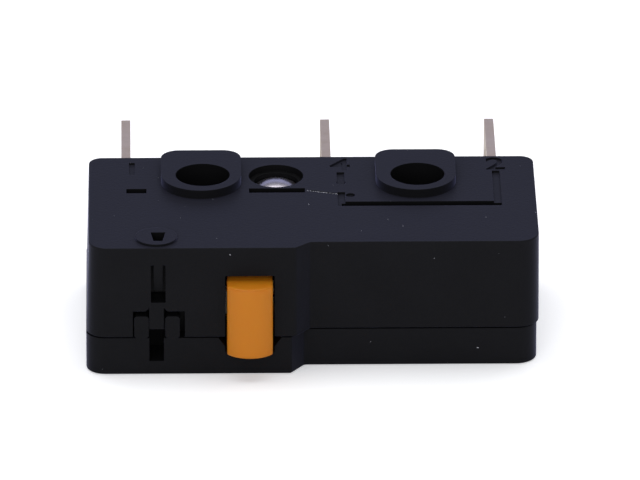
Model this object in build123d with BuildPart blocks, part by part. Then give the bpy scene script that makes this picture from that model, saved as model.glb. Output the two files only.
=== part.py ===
"""Subminiature snap-action switch: a two-shell moulded housing, a plunger and a toggle mechanism.

Millimetres. X runs along the body and +Y points out of the rear face along the terminals.
Z runs through the thickness. The origin is midway between the two mounting holes, on the underside.
"""
import math
import os

from build123d import *

# ---- Housing -----------------------------------------------------------------------------------
hole_pitch = 9.5            # between the two mounting holes, along X
hole_d = 2.4
body_length = 19.88
body_shift = 0.04           # the body's middle lies this far to the right of the holes' middle
body_rear = 2.9             # rear face, behind the line of the holes
body_front = 7.12           # front face of the platform, ahead of the line of the holes
step_depth = 0.87           # how far the plain right-hand front lies behind the platform
step_depth_top = 0.6        # the same at the top of the case, whose platform leans back
case_step = (-0.74, -0.07)  # where the slope from the platform starts and ends, on the case
cover_step = (-0.92, -0.31)     # and on the cover
body_top = 6.0
parting_z = 1.75            # the joint between the case and the cover
parting_gap = 0.07          # open line left along the joint
parting_groove = 0.3        # how far the open line reaches in
wall = 0.75
front_lean = 0.14           # draft of the platform over the height of the case
rear_lean = 0.07            # draft of the rear
end_lean = (0.11, 0.03)     # draft of the left and the right end
cover_inset = 0.02          # the cover is this much smaller all round than the mouth of the case
cover_ends = (-0.04, 0.07)  # and its left and right ends lie this much further in
rear_corner_r = 0.6
front_left_r = 0.85
front_right_r = 0.95
step_corner_r = 0.2
edge_r = 0.05               # softening of the case's top edge
cover_edge_r = 0.08
over = 1.0                  # how far a cutting solid runs past the face it opens

boss_r = 1.77               # raised D-shaped land round each mounting hole
boss_rise = 0.4
boss_shift = (-0.07, 0.06)  # middle of the land, from the middle of its hole
boss_rear = 2.7
boss_corner_r = 0.8

# ---- Assembly rivet ----------------------------------------------------------------------------
rivet_x = -1.5
rivet_y = 0.74
rivet_head_d = 1.88
rivet_dome = 0.54
rivet_rim = 0.24            # straight edge of the head, under the dome
rivet_shank_d = 0.9
rivet_fit = 0.03            # radial
rivet_well_d = 2.42         # the open well over the domed head
rivet_well_step_d = 2.0     # its narrower lower part
rivet_well_step = 0.3
rivet_well_depth = 0.75
rivet_foot_well_d = 2.0     # the well under the cover, with the rolled end
rivet_foot_depth = 0.45
rivet_foot = 0.3
rivet_post_r = 1.5

# ---- Mechanism plane and motion ----------------------------------------------------------------
mech_z = 2.8                # middle of the plunger, levers and terminals
contact_travel = 0.5        # of the moving contact, from the NC to the NO contact

# ---- Plunger -----------------------------------------------------------------------------------
plunger_x = -2.74
plunger_width = 2.0
plunger_height = 3.29
plunger_proud = 0.94        # from the platform face to the crown of the rounded front
plunger_crown_r = 1.3
plunger_corner_r = 0.16
plunger_fit = 0.08          # to the sides of its opening
plunger_play_top = 0.24     # wider at the ends of its opening
plunger_play_bottom = 0.1
plunger_mouth = 0.3         # flare of the cover's notch at the parting line
plunger_mouth_depth = 0.42
plunger_collar = 0.3        # collar behind the wall that keeps the plunger in
plunger_collar_fit = 0.06   # collar to the ceiling and floor
plunger_rest_gap = 0.02     # collar to the wall at rest
nose_r = 0.5
nose_height = 1.0

# ---- Actuating lever ---------------------------------------------------------------------------
pivot_x = -5.0              # trunnions of the actuating lever
pivot_y = -5.9
trunnion_d = 0.5
trunnion_fit = 0.04         # radial
trunnion_depth = 0.3        # into the ceiling and into the floor
lever_rest_deg = 22.0
lever_reach = 3.4           # trunnion to the bar that carries the spring
lever_thick = 0.3
lever_root = 0.1            # rounded root, proud of the trunnions all round
lever_width = 1.2
lever_bar = 0.26
lever_slot = 0.5            # slot that lets the spring's loop round the bar
lever_slot_height = 0.3
nose_gap = 0.05             # between the plunger's nose and the lever, at rest

# ---- Contact lever -----------------------------------------------------------------------------
fulcrum_offset = 2.0        # fulcrum to the middle of the common tab
contact_x = 1.4
blade_y = -3.95             # middle plane of the contact lever at rest
blade_thick = 0.2
blade_width = 2.8
blade_tip_width = 1.6
blade_window_start = 0.65   # from the fulcrum
blade_window_height = 1.8
blade_neck_x = 0.3          # where the full width starts to narrow
blade_bar_x = 0.175         # cross bar that carries the other end of the spring
blade_bar = 0.25
blade_loop_slot = 0.45
fulcrum_fit = 0.03          # radial, in the groove of the common terminal

# ---- Contacts ----------------------------------------------------------------------------------
contact_d = 1.1
contact_head = 0.25         # each head of the moving contact
contact_shank_d = 0.5
fixed_contact_head = 0.3
contact_touch = 0.02        # air left between closed contacts

# ---- Snap spring -------------------------------------------------------------------------------
spring_wire_d = 0.14
spring_coil_r = 0.33
spring_leg = 0.36           # from the middle of a hook to the first coil
spring_turns = 4
spring_wire_sides = 4       # flats on the wire

# ---- Terminals ---------------------------------------------------------------------------------
common_inset = 1.75         # tab centre, in from the left end of the housing
no_x = 0.83
nc_inset = 1.73             # tab centre, in from the right end
tab_tip_y = 11.5
tab_thick = 0.41
tab_width = 2.8
tab_hole_d = 1.2
tab_hole_back = 2.2         # hole centre, back from the tip
tab_tip_chamfer = 0.5
tab_fit = 0.03
terminal_bend_r = 0.3       # inside radius
root_front = 0.6            # how far the wide, clamped root reaches ahead of the rear wall
common_arm_y = -2.6
common_lug_front = -4.2
no_arm_end = 2.2
nc_arm_end = 0.8

# ---- Pocket for an add-on lever, at the left of the platform -----------------------------------
pocket_offset = 4.09        # middle of the pocket, left of the plunger
pocket_width = 0.64
guide_shift = 0.08          # upper slot and tapered hole, right of the pocket's middle
pocket_depth = 1.75         # from the platform face
pocket_block_gap = 0.5      # from the lever's pivot to the solid corner that holds the pocket
pocket_block_depth = 2.35
ramp_top_z = 5.21
ramp_foot_z = 3.85
ramp_depth = 0.5
ramp_width = 0.4            # rib between two channels
upper_slot_z = (3.44, 3.77)
lower_slot_z = (0.64, 2.19)
finger_width = 0.68
finger_rise = 1.04          # above the parting line
finger_depth = 0.7
finger_corner_r = 0.14
finger_fit = 0.04
finger_gap_top = 0.24
finger_gap_right = 0.24
finger_relief = 0.16        # the case's notch is cut back this far beside its bar
pad_r = 0.92                # low round pad on top, over the pocket
pad_y = -5.86
pad_rise = 0.1
core_hole_rear = -5.48      # tapered hole through the pad
core_hole_front = -6.38
core_hole_wide = 0.64
core_hole_narrow = 0.4

# ---- Sunk circuit diagram on the top -----------------------------------------------------------
mark_depth = 0.25
mark_shallow = 0.1          # of the uprights and the dot
mark_width = 0.46
mark_upright = 0.34
mark_dot_r = 0.21
mark_common_y = -0.83       # middle of the common line
mark_nc_y = -2.3            # middle of the normally closed line
mark_no_y = -0.02
mark_contact_x = 1.36
mark_lead = (0.02, 0.91)    # short bar of the common line, from its tab
mark_line = (-2.71, -0.24)  # the rest of the common line, right of the boss
mark_arm_start = (0.0, -0.86)
mark_arm_end = (1.4, -1.3)  # free end of the switch arm
mark_arm_width = 0.13
mark_ring_y = -1.38         # dimple at the end of the arm
mark_ring_x = 1.76
mark_contact_rear = -1.05   # rear end of the upright from the normally closed line to the arm
mark_no_rear = 1.1          # rear end of the normally open upright
mark_nc_rear = 1.2          # rear end of the normally closed upright

# ---- Values that follow ------------------------------------------------------------------------
left_x = body_shift - body_length / 2
right_x = left_x + body_length
common_x = left_x + common_inset
fulcrum_x = common_x + fulcrum_offset
nc_x = right_x - nc_inset
pocket_x = plunger_x - pocket_offset
pocket_block_x = pivot_x - pocket_block_gap
front_y = -body_front
inner_front_y = front_y + wall
inner_rear_y = body_rear - wall
ceiling_z = body_top - wall
floor_z = wall
boss_top = body_top + boss_rise
hole_xs = (-hole_pitch / 2, hole_pitch / 2)
pivot_to_nose = plunger_x - pivot_x
lever_sin = math.sin(math.radians(lever_rest_deg))
lever_cos = math.cos(math.radians(lever_rest_deg))
nose_clear = nose_r + lever_thick / 2 + nose_gap
nose_y = pivot_y + (pivot_to_nose * lever_sin - nose_clear) / lever_cos
hook_x = pivot_x + lever_reach * lever_cos
hook_y = pivot_y + lever_reach * lever_sin
nc_face_y = blade_y - blade_thick / 2 - contact_head - contact_touch
contact_turn = contact_travel / (contact_x - fulcrum_x)         # radians
tilt_room = contact_d / 2 * contact_turn
no_face_y = blade_y + blade_thick / 2 + contact_head + contact_travel + contact_touch + tilt_room
nc_arm_y = nc_face_y - fixed_contact_head - tab_thick / 2
no_arm_y = no_face_y + fixed_contact_head + tab_thick / 2
pocket_left = pocket_x - pocket_width / 2
pocket_right = pocket_x + pocket_width / 2
guide_x = pocket_x + guide_shift
guide_sides = (guide_x - pocket_width / 2, guide_x + pocket_width / 2)
pocket_back_y = front_y + pocket_depth
block_back_y = front_y + pocket_block_depth
plunger_bottom = mech_z - plunger_height / 2
plunger_top = mech_z + plunger_height / 2
notch_bottom = plunger_bottom - plunger_play_bottom
notch_half = plunger_width / 2 + plunger_fit


def block(x_range, y_range, z_range, mode=Mode.ADD):
    """A plain block between two corners, added to or cut from the part being built."""
    with BuildSketch(Plane.XY.offset(z_range[0])) as base:
        with Locations(((x_range[0] + x_range[1]) / 2, (y_range[0] + y_range[1]) / 2)):
            Rectangle(x_range[1] - x_range[0], y_range[1] - y_range[0])
    extrude(base.sketch, amount=z_range[1] - z_range[0], mode=mode)


def cylinder_up(x, y, radius, z_range, mode=Mode.ADD):
    """An upright cylinder between two heights."""
    with BuildSketch(Plane.XY.offset(z_range[0])) as base:
        with Locations((x, y)):
            Circle(radius)
    extrude(base.sketch, amount=z_range[1] - z_range[0], mode=mode)


def plan(z, step, lean=0.0, inset=0.0, ends=(0.0, 0.0)):
    """Plan of the housing at one height: a long rectangle whose right-hand front is stepped back.

    The step is given by where its slope starts and ends. Lean is 0 at the joint and 1 at the top.
    Ends says how much further in the left and the right end lie.
    """
    near = front_y + front_lean * lean
    far = near + step_depth + (step_depth_top - step_depth) * lean
    left = left_x + end_lean[0] * lean + ends[0]
    right = right_x - end_lean[1] * lean - ends[1]
    rear = body_rear - rear_lean * lean
    corners = (
        ((left, rear), rear_corner_r),
        ((left, near), front_left_r),
        ((step[0], near), step_corner_r),
        ((step[1], far), step_corner_r),
        ((right, far), front_right_r),
        ((right, rear), rear_corner_r),
    )
    with BuildSketch(Plane.XY.offset(z)) as outline:
        with BuildLine():
            Polyline(*(point for point, radius in corners), close=True)
        make_face()
        for point, radius in corners:
            fillet(outline.vertices().sort_by_distance((*point, z))[0], radius=radius)
        if inset:
            offset(amount=-inset)
    return outline.sketch


def dee(x, z, rear, corner_r=0.0, middle_y=0.0):
    """Half-round to the front and straight-sided to the rear, round one mounting hole."""
    with BuildSketch(Plane.XY.offset(z)) as outline:
        with Locations((x, middle_y)):
            Circle(boss_r)
        with Locations((x, (middle_y + rear) / 2)):
            Rectangle(2 * boss_r, rear - middle_y)
        if corner_r:
            fillet(outline.vertices().group_by(Axis.Y)[-1], radius=corner_r)
    return outline.sketch


def inner_posts(z_range):
    """The posts that both shells have inside: round each hole, round the rivet, and the pocket."""
    rise = z_range[1] - z_range[0]
    for x in hole_xs:
        extrude(dee(x, z_range[0], body_rear - wall / 2), amount=rise)
    cylinder_up(rivet_x, rivet_y, rivet_post_r, z_range)
    block((left_x + wall / 2, pocket_block_x), (front_y + wall / 2, block_back_y), z_range)


# ---- Case: the deep upper shell ----------------------------------------------------------------
with BuildPart() as case:
    loft((plan(parting_z, case_step), plan(body_top, case_step, 1.0)), ruled=True)
    fillet(case.faces().sort_by(Axis.Z)[-1].outer_wire().edges(), radius=edge_r)

    # the rim is set back at the joint, which leaves an open line above the cover
    extrude(plan(parting_z, case_step, 0.0, -over), amount=parting_gap, mode=Mode.SUBTRACT)
    extrude(plan(parting_z, case_step, 0.0, parting_groove), amount=parting_gap)
    extrude(plan(parting_z, case_step, 0.0, wall), amount=ceiling_z - parting_z, mode=Mode.SUBTRACT)
    inner_posts((parting_z, ceiling_z))
    for x in hole_xs:
        land = dee(x + boss_shift[0], ceiling_z, boss_rear, boss_corner_r, boss_shift[1])
        extrude(land, amount=boss_top - ceiling_z)
        cylinder_up(x, 0, hole_d / 2, (0, boss_top), Mode.SUBTRACT)

    # rivet well, stepped, and its bore
    well_floor = body_top - rivet_well_depth
    cylinder_up(rivet_x, rivet_y, rivet_well_d / 2, (body_top - rivet_well_step, body_top), Mode.SUBTRACT)
    cylinder_up(rivet_x, rivet_y, rivet_well_step_d / 2, (well_floor, body_top), Mode.SUBTRACT)
    cylinder_up(rivet_x, rivet_y, rivet_shank_d / 2 + rivet_fit, (0, body_top), Mode.SUBTRACT)

    # opening for the plunger, and the socket for the lever's upper trunnion
    block(
        (plunger_x - notch_half, plunger_x + notch_half),
        (front_y - over, inner_front_y + wall / 2),
        (parting_z, plunger_top + plunger_play_top),
        Mode.SUBTRACT,
    )
    cylinder_up(
        pivot_x, pivot_y, trunnion_d / 2 + trunnion_fit,
        (ceiling_z, ceiling_z + trunnion_depth + tab_fit), Mode.SUBTRACT,
    )

    # slots in the rear wall for the three terminals
    for x in (common_x, no_x, nc_x):
        block(
            (x - tab_thick / 2 - tab_fit, x + tab_thick / 2 + tab_fit),
            (inner_rear_y - wall / 2, body_rear + over),
            (parting_z, mech_z + tab_width / 2 + tab_fit),
            Mode.SUBTRACT,
        )

    # low pad over the pocket
    cylinder_up(pocket_x, pad_y, pad_r, (ceiling_z, body_top + pad_rise))

    # recess over the upper slot, with a sloping rib that guides a lever's hook in
    lean_at_ramp = front_lean * (ramp_top_z - parting_z) / (body_top - parting_z)
    recess_y = front_y + ramp_depth
    block(guide_sides, (front_y - over, recess_y), (upper_slot_z[0], ramp_top_z), Mode.SUBTRACT)
    with BuildSketch(Plane.YZ.offset(guide_x - ramp_width / 2)):
        with BuildLine():
            Polyline(
                (front_y + lean_at_ramp, ramp_top_z),
                (recess_y, ramp_foot_z),
                (recess_y + wall / 2, ramp_foot_z),
                (recess_y + wall / 2, ramp_top_z + wall / 2),
                (front_y + lean_at_ramp, ramp_top_z),
            )
        make_face()
    extrude(amount=ramp_width)

    # tapered hole through the pad, and the pocket's two slots
    with BuildSketch(Plane.XY.offset(upper_slot_z[0])):
        with BuildLine():
            Polyline(
                (guide_x - core_hole_wide / 2, core_hole_rear),
                (guide_x - core_hole_narrow / 2, core_hole_front),
                (guide_x + core_hole_narrow / 2, core_hole_front),
                (guide_x + core_hole_wide / 2, core_hole_rear),
                close=True,
            )
        make_face()
    extrude(amount=body_top + over - upper_slot_z[0], mode=Mode.SUBTRACT)
    block(guide_sides, (front_y - over, pocket_back_y), upper_slot_z, Mode.SUBTRACT)
    block(
        (pocket_left, pocket_right), (front_y - over, pocket_back_y),
        (parting_z, lower_slot_z[1]), Mode.SUBTRACT,
    )

    # notches for the cover's fingers, leaving a bar between them
    notch_top = parting_z + finger_rise + finger_gap_top
    notch_left = pocket_left - finger_width - finger_fit
    notch_right = pocket_right + finger_width + finger_gap_right
    for bar_x, far_x, side in ((pocket_left, notch_left, -1), (pocket_right, notch_right, 1)):
        with BuildSketch(Plane.XZ.offset(over - front_y)):
            with BuildLine():
                Polyline(
                    (bar_x, parting_z), (bar_x, notch_top + finger_relief),
                    (bar_x + side * finger_relief, notch_top), (far_x, notch_top),
                    (far_x, parting_z), close=True,
                )
            make_face()
        extrude(amount=-(over + finger_depth + finger_fit), mode=Mode.SUBTRACT)

    # circuit diagram, as grooves
    deep_z = (body_top - mark_depth, body_top + over)
    shallow_z = (body_top - mark_shallow, body_top + over)
    half_mark = mark_width / 2
    half_upright = mark_upright / 2
    common_groove = (mark_common_y - half_mark, mark_common_y + half_mark)
    nc_groove = (mark_nc_y - half_mark, mark_nc_y + half_mark)
    contact_upright = (mark_contact_x - half_upright, mark_contact_x + half_upright)
    nc_upright = (nc_x - half_upright, nc_x + half_upright)
    block(
        (common_x + mark_lead[0], common_x + mark_lead[1]), common_groove, deep_z, Mode.SUBTRACT,
    )
    block(mark_line, common_groove, deep_z, Mode.SUBTRACT)
    block((mark_contact_x, nc_upright[1]), nc_groove, deep_z, Mode.SUBTRACT)
    block(contact_upright, (nc_groove[0], mark_contact_rear), shallow_z, Mode.SUBTRACT)
    block(nc_upright, (nc_groove[1], mark_nc_rear), shallow_z, Mode.SUBTRACT)
    block(contact_upright, (mark_no_y, mark_no_rear), shallow_z, Mode.SUBTRACT)
    for x, y in ((mark_contact_x, mark_no_y), (mark_ring_x, mark_ring_y)):
        cylinder_up(x, y, mark_dot_r, shallow_z, Mode.SUBTRACT)
    arm_run = Vector(*mark_arm_end) - Vector(*mark_arm_start)
    arm_plane = Plane(origin=(*mark_arm_start, body_top), x_dir=(0, 0, 1), z_dir=arm_run)
    with BuildSketch(arm_plane):
        RegularPolygon(mark_arm_width / 2, 4)
    extrude(amount=arm_run.length, mode=Mode.SUBTRACT)
case.part.label = "case"

# ---- Cover: the shallow lower shell ------------------------------------------------------------
with BuildPart() as cover:
    extrude(plan(0, cover_step, 0.0, cover_inset, cover_ends), amount=parting_z)
    fillet(cover.faces().sort_by(Axis.Z)[0].outer_wire().edges(), radius=cover_edge_r)
    cover_inside = plan(floor_z, cover_step, 0.0, wall, cover_ends)
    extrude(cover_inside, amount=parting_z - floor_z, mode=Mode.SUBTRACT)
    inner_posts((floor_z, parting_z))
    for x in hole_xs:
        cylinder_up(x, 0, hole_d / 2, (0, parting_z), Mode.SUBTRACT)
    cylinder_up(rivet_x, rivet_y, rivet_foot_well_d / 2, (0, rivet_foot_depth), Mode.SUBTRACT)
    cylinder_up(rivet_x, rivet_y, rivet_shank_d / 2 + rivet_fit, (0, parting_z), Mode.SUBTRACT)
    cylinder_up(
        pivot_x, pivot_y, trunnion_d / 2 + trunnion_fit,
        (floor_z - trunnion_depth - tab_fit, floor_z), Mode.SUBTRACT,
    )

    # notch for the plunger, flared at the parting line
    with BuildSketch(Plane.XZ.offset(-inner_front_y)):
        with BuildLine():
            Polyline(
                (plunger_x - notch_half, notch_bottom),
                (plunger_x - notch_half, parting_z - plunger_mouth_depth),
                (plunger_x - notch_half - plunger_mouth, parting_z),
                (plunger_x + notch_half + plunger_mouth, parting_z),
                (plunger_x + notch_half, parting_z - plunger_mouth_depth),
                (plunger_x + notch_half, notch_bottom),
                close=True,
            )
        make_face()
    extrude(amount=wall + over, mode=Mode.SUBTRACT)

    for x in (common_x, no_x, nc_x):
        block(
            (x - tab_thick / 2 - tab_fit, x + tab_thick / 2 + tab_fit),
            (inner_rear_y - wall / 2, body_rear + over),
            (mech_z - tab_width / 2 - tab_fit, parting_z),
            Mode.SUBTRACT,
        )
    block(
        (pocket_left, pocket_right), (front_y - over, pocket_back_y),
        (lower_slot_z[0], parting_z), Mode.SUBTRACT,
    )

    # the two fingers beside the pocket
    for x_left in (pocket_left - finger_width, pocket_right + finger_fit):
        with BuildSketch(Plane.XZ.offset(-front_y - cover_inset)) as finger:
            with Locations((x_left + finger_width / 2, parting_z + finger_rise / 2)):
                Rectangle(finger_width - finger_fit, finger_rise)
            fillet(finger.vertices().group_by(Axis.Z)[-1], radius=finger_corner_r)
        extrude(amount=-(finger_depth - cover_inset))
cover.part.label = "cover"

# ---- Plunger -----------------------------------------------------------------------------------
with BuildPart() as plunger:
    crown_y = front_y - plunger_proud
    collar_front_y = inner_front_y + plunger_rest_gap
    crown_drop = plunger_crown_r - math.sqrt(plunger_crown_r**2 - (plunger_width / 2) ** 2)
    with BuildSketch(Plane.XY.offset(plunger_bottom)) as section:
        with BuildLine():
            left, right = plunger_x - plunger_width / 2, plunger_x + plunger_width / 2
            side_y = crown_y + crown_drop
            ThreePointArc((left, side_y), (plunger_x, crown_y), (right, side_y))
            Polyline((right, side_y), (right, collar_front_y), (left, collar_front_y), (left, side_y))
        make_face()
        fillet(section.vertices().group_by(Axis.Y)[0], radius=plunger_corner_r)
    extrude(amount=plunger_height)
    block(
        (left, right), (collar_front_y, collar_front_y + plunger_collar),
        (floor_z + plunger_collar_fit, ceiling_z - plunger_collar_fit),
    )
    block(
        (plunger_x - nose_r, plunger_x + nose_r), (collar_front_y, nose_y),
        (mech_z - nose_height / 2, mech_z + nose_height / 2),
    )
    cylinder_up(plunger_x, nose_y, nose_r, (mech_z - nose_height / 2, mech_z + nose_height / 2))
plunger.part.label = "plunger"

# ---- Actuating lever: moulded, with trunnions held between the two shells ----------------------
with BuildPart() as actuating_lever:
    lever_plane = Plane(
        origin=(pivot_x, pivot_y, mech_z - lever_width / 2),
        x_dir=(lever_cos, lever_sin, 0),
        z_dir=(0, 0, 1),
    )
    lever_end = lever_reach + lever_bar / 2
    with BuildSketch(lever_plane) as arm:
        with Locations((lever_end / 2, 0)):
            Rectangle(lever_end, lever_thick)
        Circle(trunnion_d / 2 + lever_root)
    extrude(amount=lever_width)
    cylinder_up(
        pivot_x, pivot_y, trunnion_d / 2,
        (floor_z - trunnion_depth, ceiling_z + trunnion_depth),
    )
    slot_plane = Plane(
        origin=(pivot_x, pivot_y, mech_z), x_dir=(lever_cos, lever_sin, 0), z_dir=(-lever_sin, lever_cos, 0),
    )
    with BuildSketch(slot_plane):
        with Locations((lever_reach - lever_bar / 2 - lever_slot / 2, 0)):
            Rectangle(lever_slot, lever_slot_height)
    extrude(amount=lever_thick, both=True, mode=Mode.SUBTRACT)
actuating_lever.part.label = "actuating_lever"

# ---- Contact lever: a stamped frame, with its left edge rounded to sit in the fulcrum ----------
with BuildPart() as contact_lever:
    blade_plane = Plane(origin=(0, blade_y + blade_thick / 2, mech_z), x_dir=(1, 0, 0), z_dir=(0, -1, 0))
    with BuildSketch(blade_plane):
        with BuildLine():
            tip_half = blade_tip_width / 2
            width_half = blade_width / 2
            neck_end = blade_neck_x + width_half - tip_half
            Polyline(
                (contact_x, -tip_half), (neck_end, -tip_half), (blade_neck_x, -width_half),
                (fulcrum_x, -width_half), (fulcrum_x, width_half), (blade_neck_x, width_half),
                (neck_end, tip_half), (contact_x, tip_half),
            )
            ThreePointArc((contact_x, tip_half), (contact_x + tip_half, 0), (contact_x, -tip_half))
        make_face()
        window_left = fulcrum_x + blade_window_start
        window_right = blade_bar_x - blade_bar / 2
        with Locations(((window_left + window_right) / 2, 0)):
            Rectangle(window_right - window_left, blade_window_height, mode=Mode.SUBTRACT)
        with Locations((blade_bar_x + blade_bar / 2 + blade_loop_slot / 2, 0)):
            Rectangle(blade_loop_slot, lever_slot_height, mode=Mode.SUBTRACT)
        with Locations((contact_x, 0)):
            Circle(contact_shank_d / 2, mode=Mode.SUBTRACT)
    extrude(amount=blade_thick)
    cylinder_up(fulcrum_x, blade_y, blade_thick / 2, (mech_z - blade_width / 2, mech_z + blade_width / 2))
contact_lever.part.label = "contact_lever"


def contact_stack(radii_and_ends, x):
    """Coaxial discs along +Y, given as (radius, start, end)."""
    for radius, start, end in radii_and_ends:
        with BuildSketch(Plane(origin=(x, start, mech_z), z_dir=(0, 1, 0))) as disc:
            Circle(radius)
        extrude(disc.sketch, amount=end - start)


# ---- Contacts ----------------------------------------------------------------------------------
head_r = contact_d / 2
shank_r = contact_shank_d / 2
with BuildPart() as moving_contact:
    front_of_blade = blade_y - blade_thick / 2
    back_of_blade = blade_y + blade_thick / 2
    contact_stack(
        (
            (head_r, front_of_blade - contact_head, front_of_blade),
            (shank_r, front_of_blade, back_of_blade),
            (head_r, back_of_blade, back_of_blade + contact_head),
        ),
        contact_x,
    )
moving_contact.part.label = "moving_contact"

with BuildPart() as nc_contact:
    nc_seat_y = nc_face_y - fixed_contact_head
    contact_stack(
        ((shank_r, nc_seat_y - tab_thick, nc_seat_y), (head_r, nc_seat_y, nc_face_y)), contact_x,
    )
nc_contact.part.label = "nc_contact"

with BuildPart() as no_contact:
    no_seat_y = no_face_y + fixed_contact_head
    contact_stack(
        ((head_r, no_face_y, no_seat_y), (shank_r, no_seat_y, no_seat_y + tab_thick)), contact_x,
    )
no_contact.part.label = "no_contact"

# ---- Snap spring: a tension coil from the actuating lever to the contact lever -----------------
spring_start = Vector(hook_x, hook_y, mech_z)
spring_end = Vector(blade_bar_x, blade_y, mech_z)
spring_axis = (spring_end - spring_start).normalized()
spring_side = Vector(0, 0, 1).cross(spring_axis)
coil_length = (spring_end - spring_start).length - 2 * spring_leg
coil_plane = Plane(
    origin=spring_start + spring_axis * spring_leg, x_dir=spring_side, z_dir=spring_axis,
)
coil = coil_plane.location * Helix(
    pitch=coil_length / spring_turns, height=coil_length, radius=spring_coil_r,
)
with BuildPart() as snap_spring:
    with BuildSketch(Plane(origin=coil @ 0, x_dir=spring_axis, z_dir=coil % 0)):
        RegularPolygon(spring_wire_d / 2, spring_wire_sides)
    sweep(path=coil, is_frenet=True)
    for centre, out in ((spring_start, spring_axis * -1), (spring_end, spring_axis)):
        leg_end = centre - out * (spring_leg + spring_wire_d / 4)
        near, far = spring_side * spring_coil_r, spring_side * -spring_coil_r
        with BuildLine() as loop:
            Line(leg_end + near, centre + near)
            ThreePointArc(centre + near, centre + out * spring_coil_r, centre + far)
            Line(centre + far, leg_end + far)
        with BuildSketch(Plane(origin=loop.wire() @ 0, x_dir=(0, 0, 1), z_dir=loop.wire() % 0)):
            RegularPolygon(spring_wire_d / 2, spring_wire_sides)
        sweep(path=loop.wire())
snap_spring.part.label = "snap_spring"


def strip(points, width):
    """Sheet strip that follows a path in plan, as wide as given in Z, about the mechanism plane."""
    with BuildLine(Plane.XY.offset(mech_z - width / 2)) as path:
        if len(points) > 2:
            FilletPolyline(*points, radius=terminal_bend_r + tab_thick / 2)
        else:
            Line(*points)
    with BuildSketch(Plane.XY.offset(mech_z - width / 2)) as section:
        trace(path.line, line_width=tab_thick)
    extrude(section.sketch, amount=width)


def tab(x, inner_y):
    """Straight tab from its tip into the housing, with its hole and chamfered tip, and its root."""
    half = tab_width / 2
    side = Plane(origin=(x - tab_thick / 2, 0, mech_z), x_dir=(0, 1, 0), z_dir=(1, 0, 0))
    with BuildSketch(side) as outline:
        with BuildLine():
            Polyline(
                (inner_y, -half), (tab_tip_y - tab_tip_chamfer, -half),
                (tab_tip_y, -half + tab_tip_chamfer / 2), (tab_tip_y, half - tab_tip_chamfer / 2),
                (tab_tip_y - tab_tip_chamfer, half), (inner_y, half), close=True,
            )
        make_face()
        with Locations((tab_tip_y - tab_hole_back, 0)):
            Circle(tab_hole_d / 2, mode=Mode.SUBTRACT)
    extrude(outline.sketch, amount=tab_thick)
    block(
        (x - tab_thick / 2, x + tab_thick / 2), (inner_rear_y - root_front, inner_rear_y),
        (floor_z, ceiling_z),
    )


# ---- Terminals ---------------------------------------------------------------------------------
with BuildPart() as common_terminal:
    tab(common_x, inner_rear_y - root_front)
    lug_x = fulcrum_x - tab_thick / 2
    strip(
        (
            (common_x, inner_rear_y), (common_x, common_arm_y),
            (lug_x, common_arm_y), (lug_x, common_lug_front),
        ),
        tab_width,
    )
    cylinder_up(
        fulcrum_x, blade_y, blade_thick / 2 + fulcrum_fit,
        (mech_z - blade_width, mech_z + blade_width), Mode.SUBTRACT,
    )
common_terminal.part.label = "common_terminal"

for_arms = (("no_terminal", no_x, no_arm_y, no_arm_end), ("nc_terminal", nc_x, nc_arm_y, nc_arm_end))
arm_terminals = []
for name, x, arm_y, arm_end in for_arms:
    with BuildPart() as terminal:
        tab(x, inner_rear_y - root_front)
        strip(((x, inner_rear_y), (x, arm_y), (arm_end, arm_y)), tab_width)
        with BuildSketch(Plane(origin=(contact_x, arm_y - tab_thick, mech_z), z_dir=(0, 1, 0))):
            Circle(shank_r)
        extrude(amount=2 * tab_thick, mode=Mode.SUBTRACT)
    terminal.part.label = name
    arm_terminals.append(terminal.part)

# ---- Assembly rivet ----------------------------------------------------------------------------
with BuildPart() as assembly_rivet:
    seat_z = body_top - rivet_well_depth
    foot_z = rivet_foot_depth
    head_rim_r = rivet_head_d / 2
    shank_rim_r = rivet_shank_d / 2
    with BuildSketch(Plane(origin=(rivet_x, rivet_y, 0), x_dir=(1, 0, 0), z_dir=(0, -1, 0))):
        with BuildLine():
            rim_z = seat_z + rivet_rim
            crown_z = seat_z + rivet_dome
            dome_r = (head_rim_r**2 + (crown_z - rim_z) ** 2) / (2 * (crown_z - rim_z))
            half_angle = math.asin(head_rim_r / dome_r) / 2
            mid_dome = (
                dome_r * math.sin(half_angle), crown_z - dome_r * (1 - math.cos(half_angle)),
            )
            Polyline(
                (0, crown_z), (0, foot_z - rivet_foot), (head_rim_r, foot_z - rivet_foot),
                (head_rim_r, foot_z), (shank_rim_r, foot_z), (shank_rim_r, seat_z),
                (head_rim_r, seat_z), (head_rim_r, rim_z),
            )
            ThreePointArc((head_rim_r, rim_z), mid_dome, (0, crown_z))
        make_face()
    revolve(axis=Axis((rivet_x, rivet_y, 0), (0, 0, 1)))
assembly_rivet.part.label = "assembly_rivet"

# ---- Export ------------------------------------------------------------------------------------
os.makedirs("parts", exist_ok=True)
housing = (case.part, cover.part, assembly_rivet.part, common_terminal.part)
movers = (plunger.part, actuating_lever.part, contact_lever.part, moving_contact.part, snap_spring.part)
for piece in (*housing, *arm_terminals, no_contact.part, nc_contact.part, *movers):
    export_step(piece, f"parts/{piece.label}.step")
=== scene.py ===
# %% [markdown]
# # A subminiature snap-action switch
#
# The switch is about 20 mm long. Two black shells hold a toggle mechanism, an orange plunger
# stands out of the front face, and three tinned tabs leave the rear face. The solid model gives
# every piece its size and place. This notebook adds what the eye reads on the real thing: the
# finish of each material, the softened mouldings with their smooth recesses in a darker colour
# that paints their shade, the small sunk numbers, a wound spring, a little dust and a line of
# pale specks that paints a highlight along one groove, and then a camera and soft light to see
# them by.

import math

import bmesh
import bpy
from mathutils import Matrix, Vector
from mathutils.bvhtree import BVHTree


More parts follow.
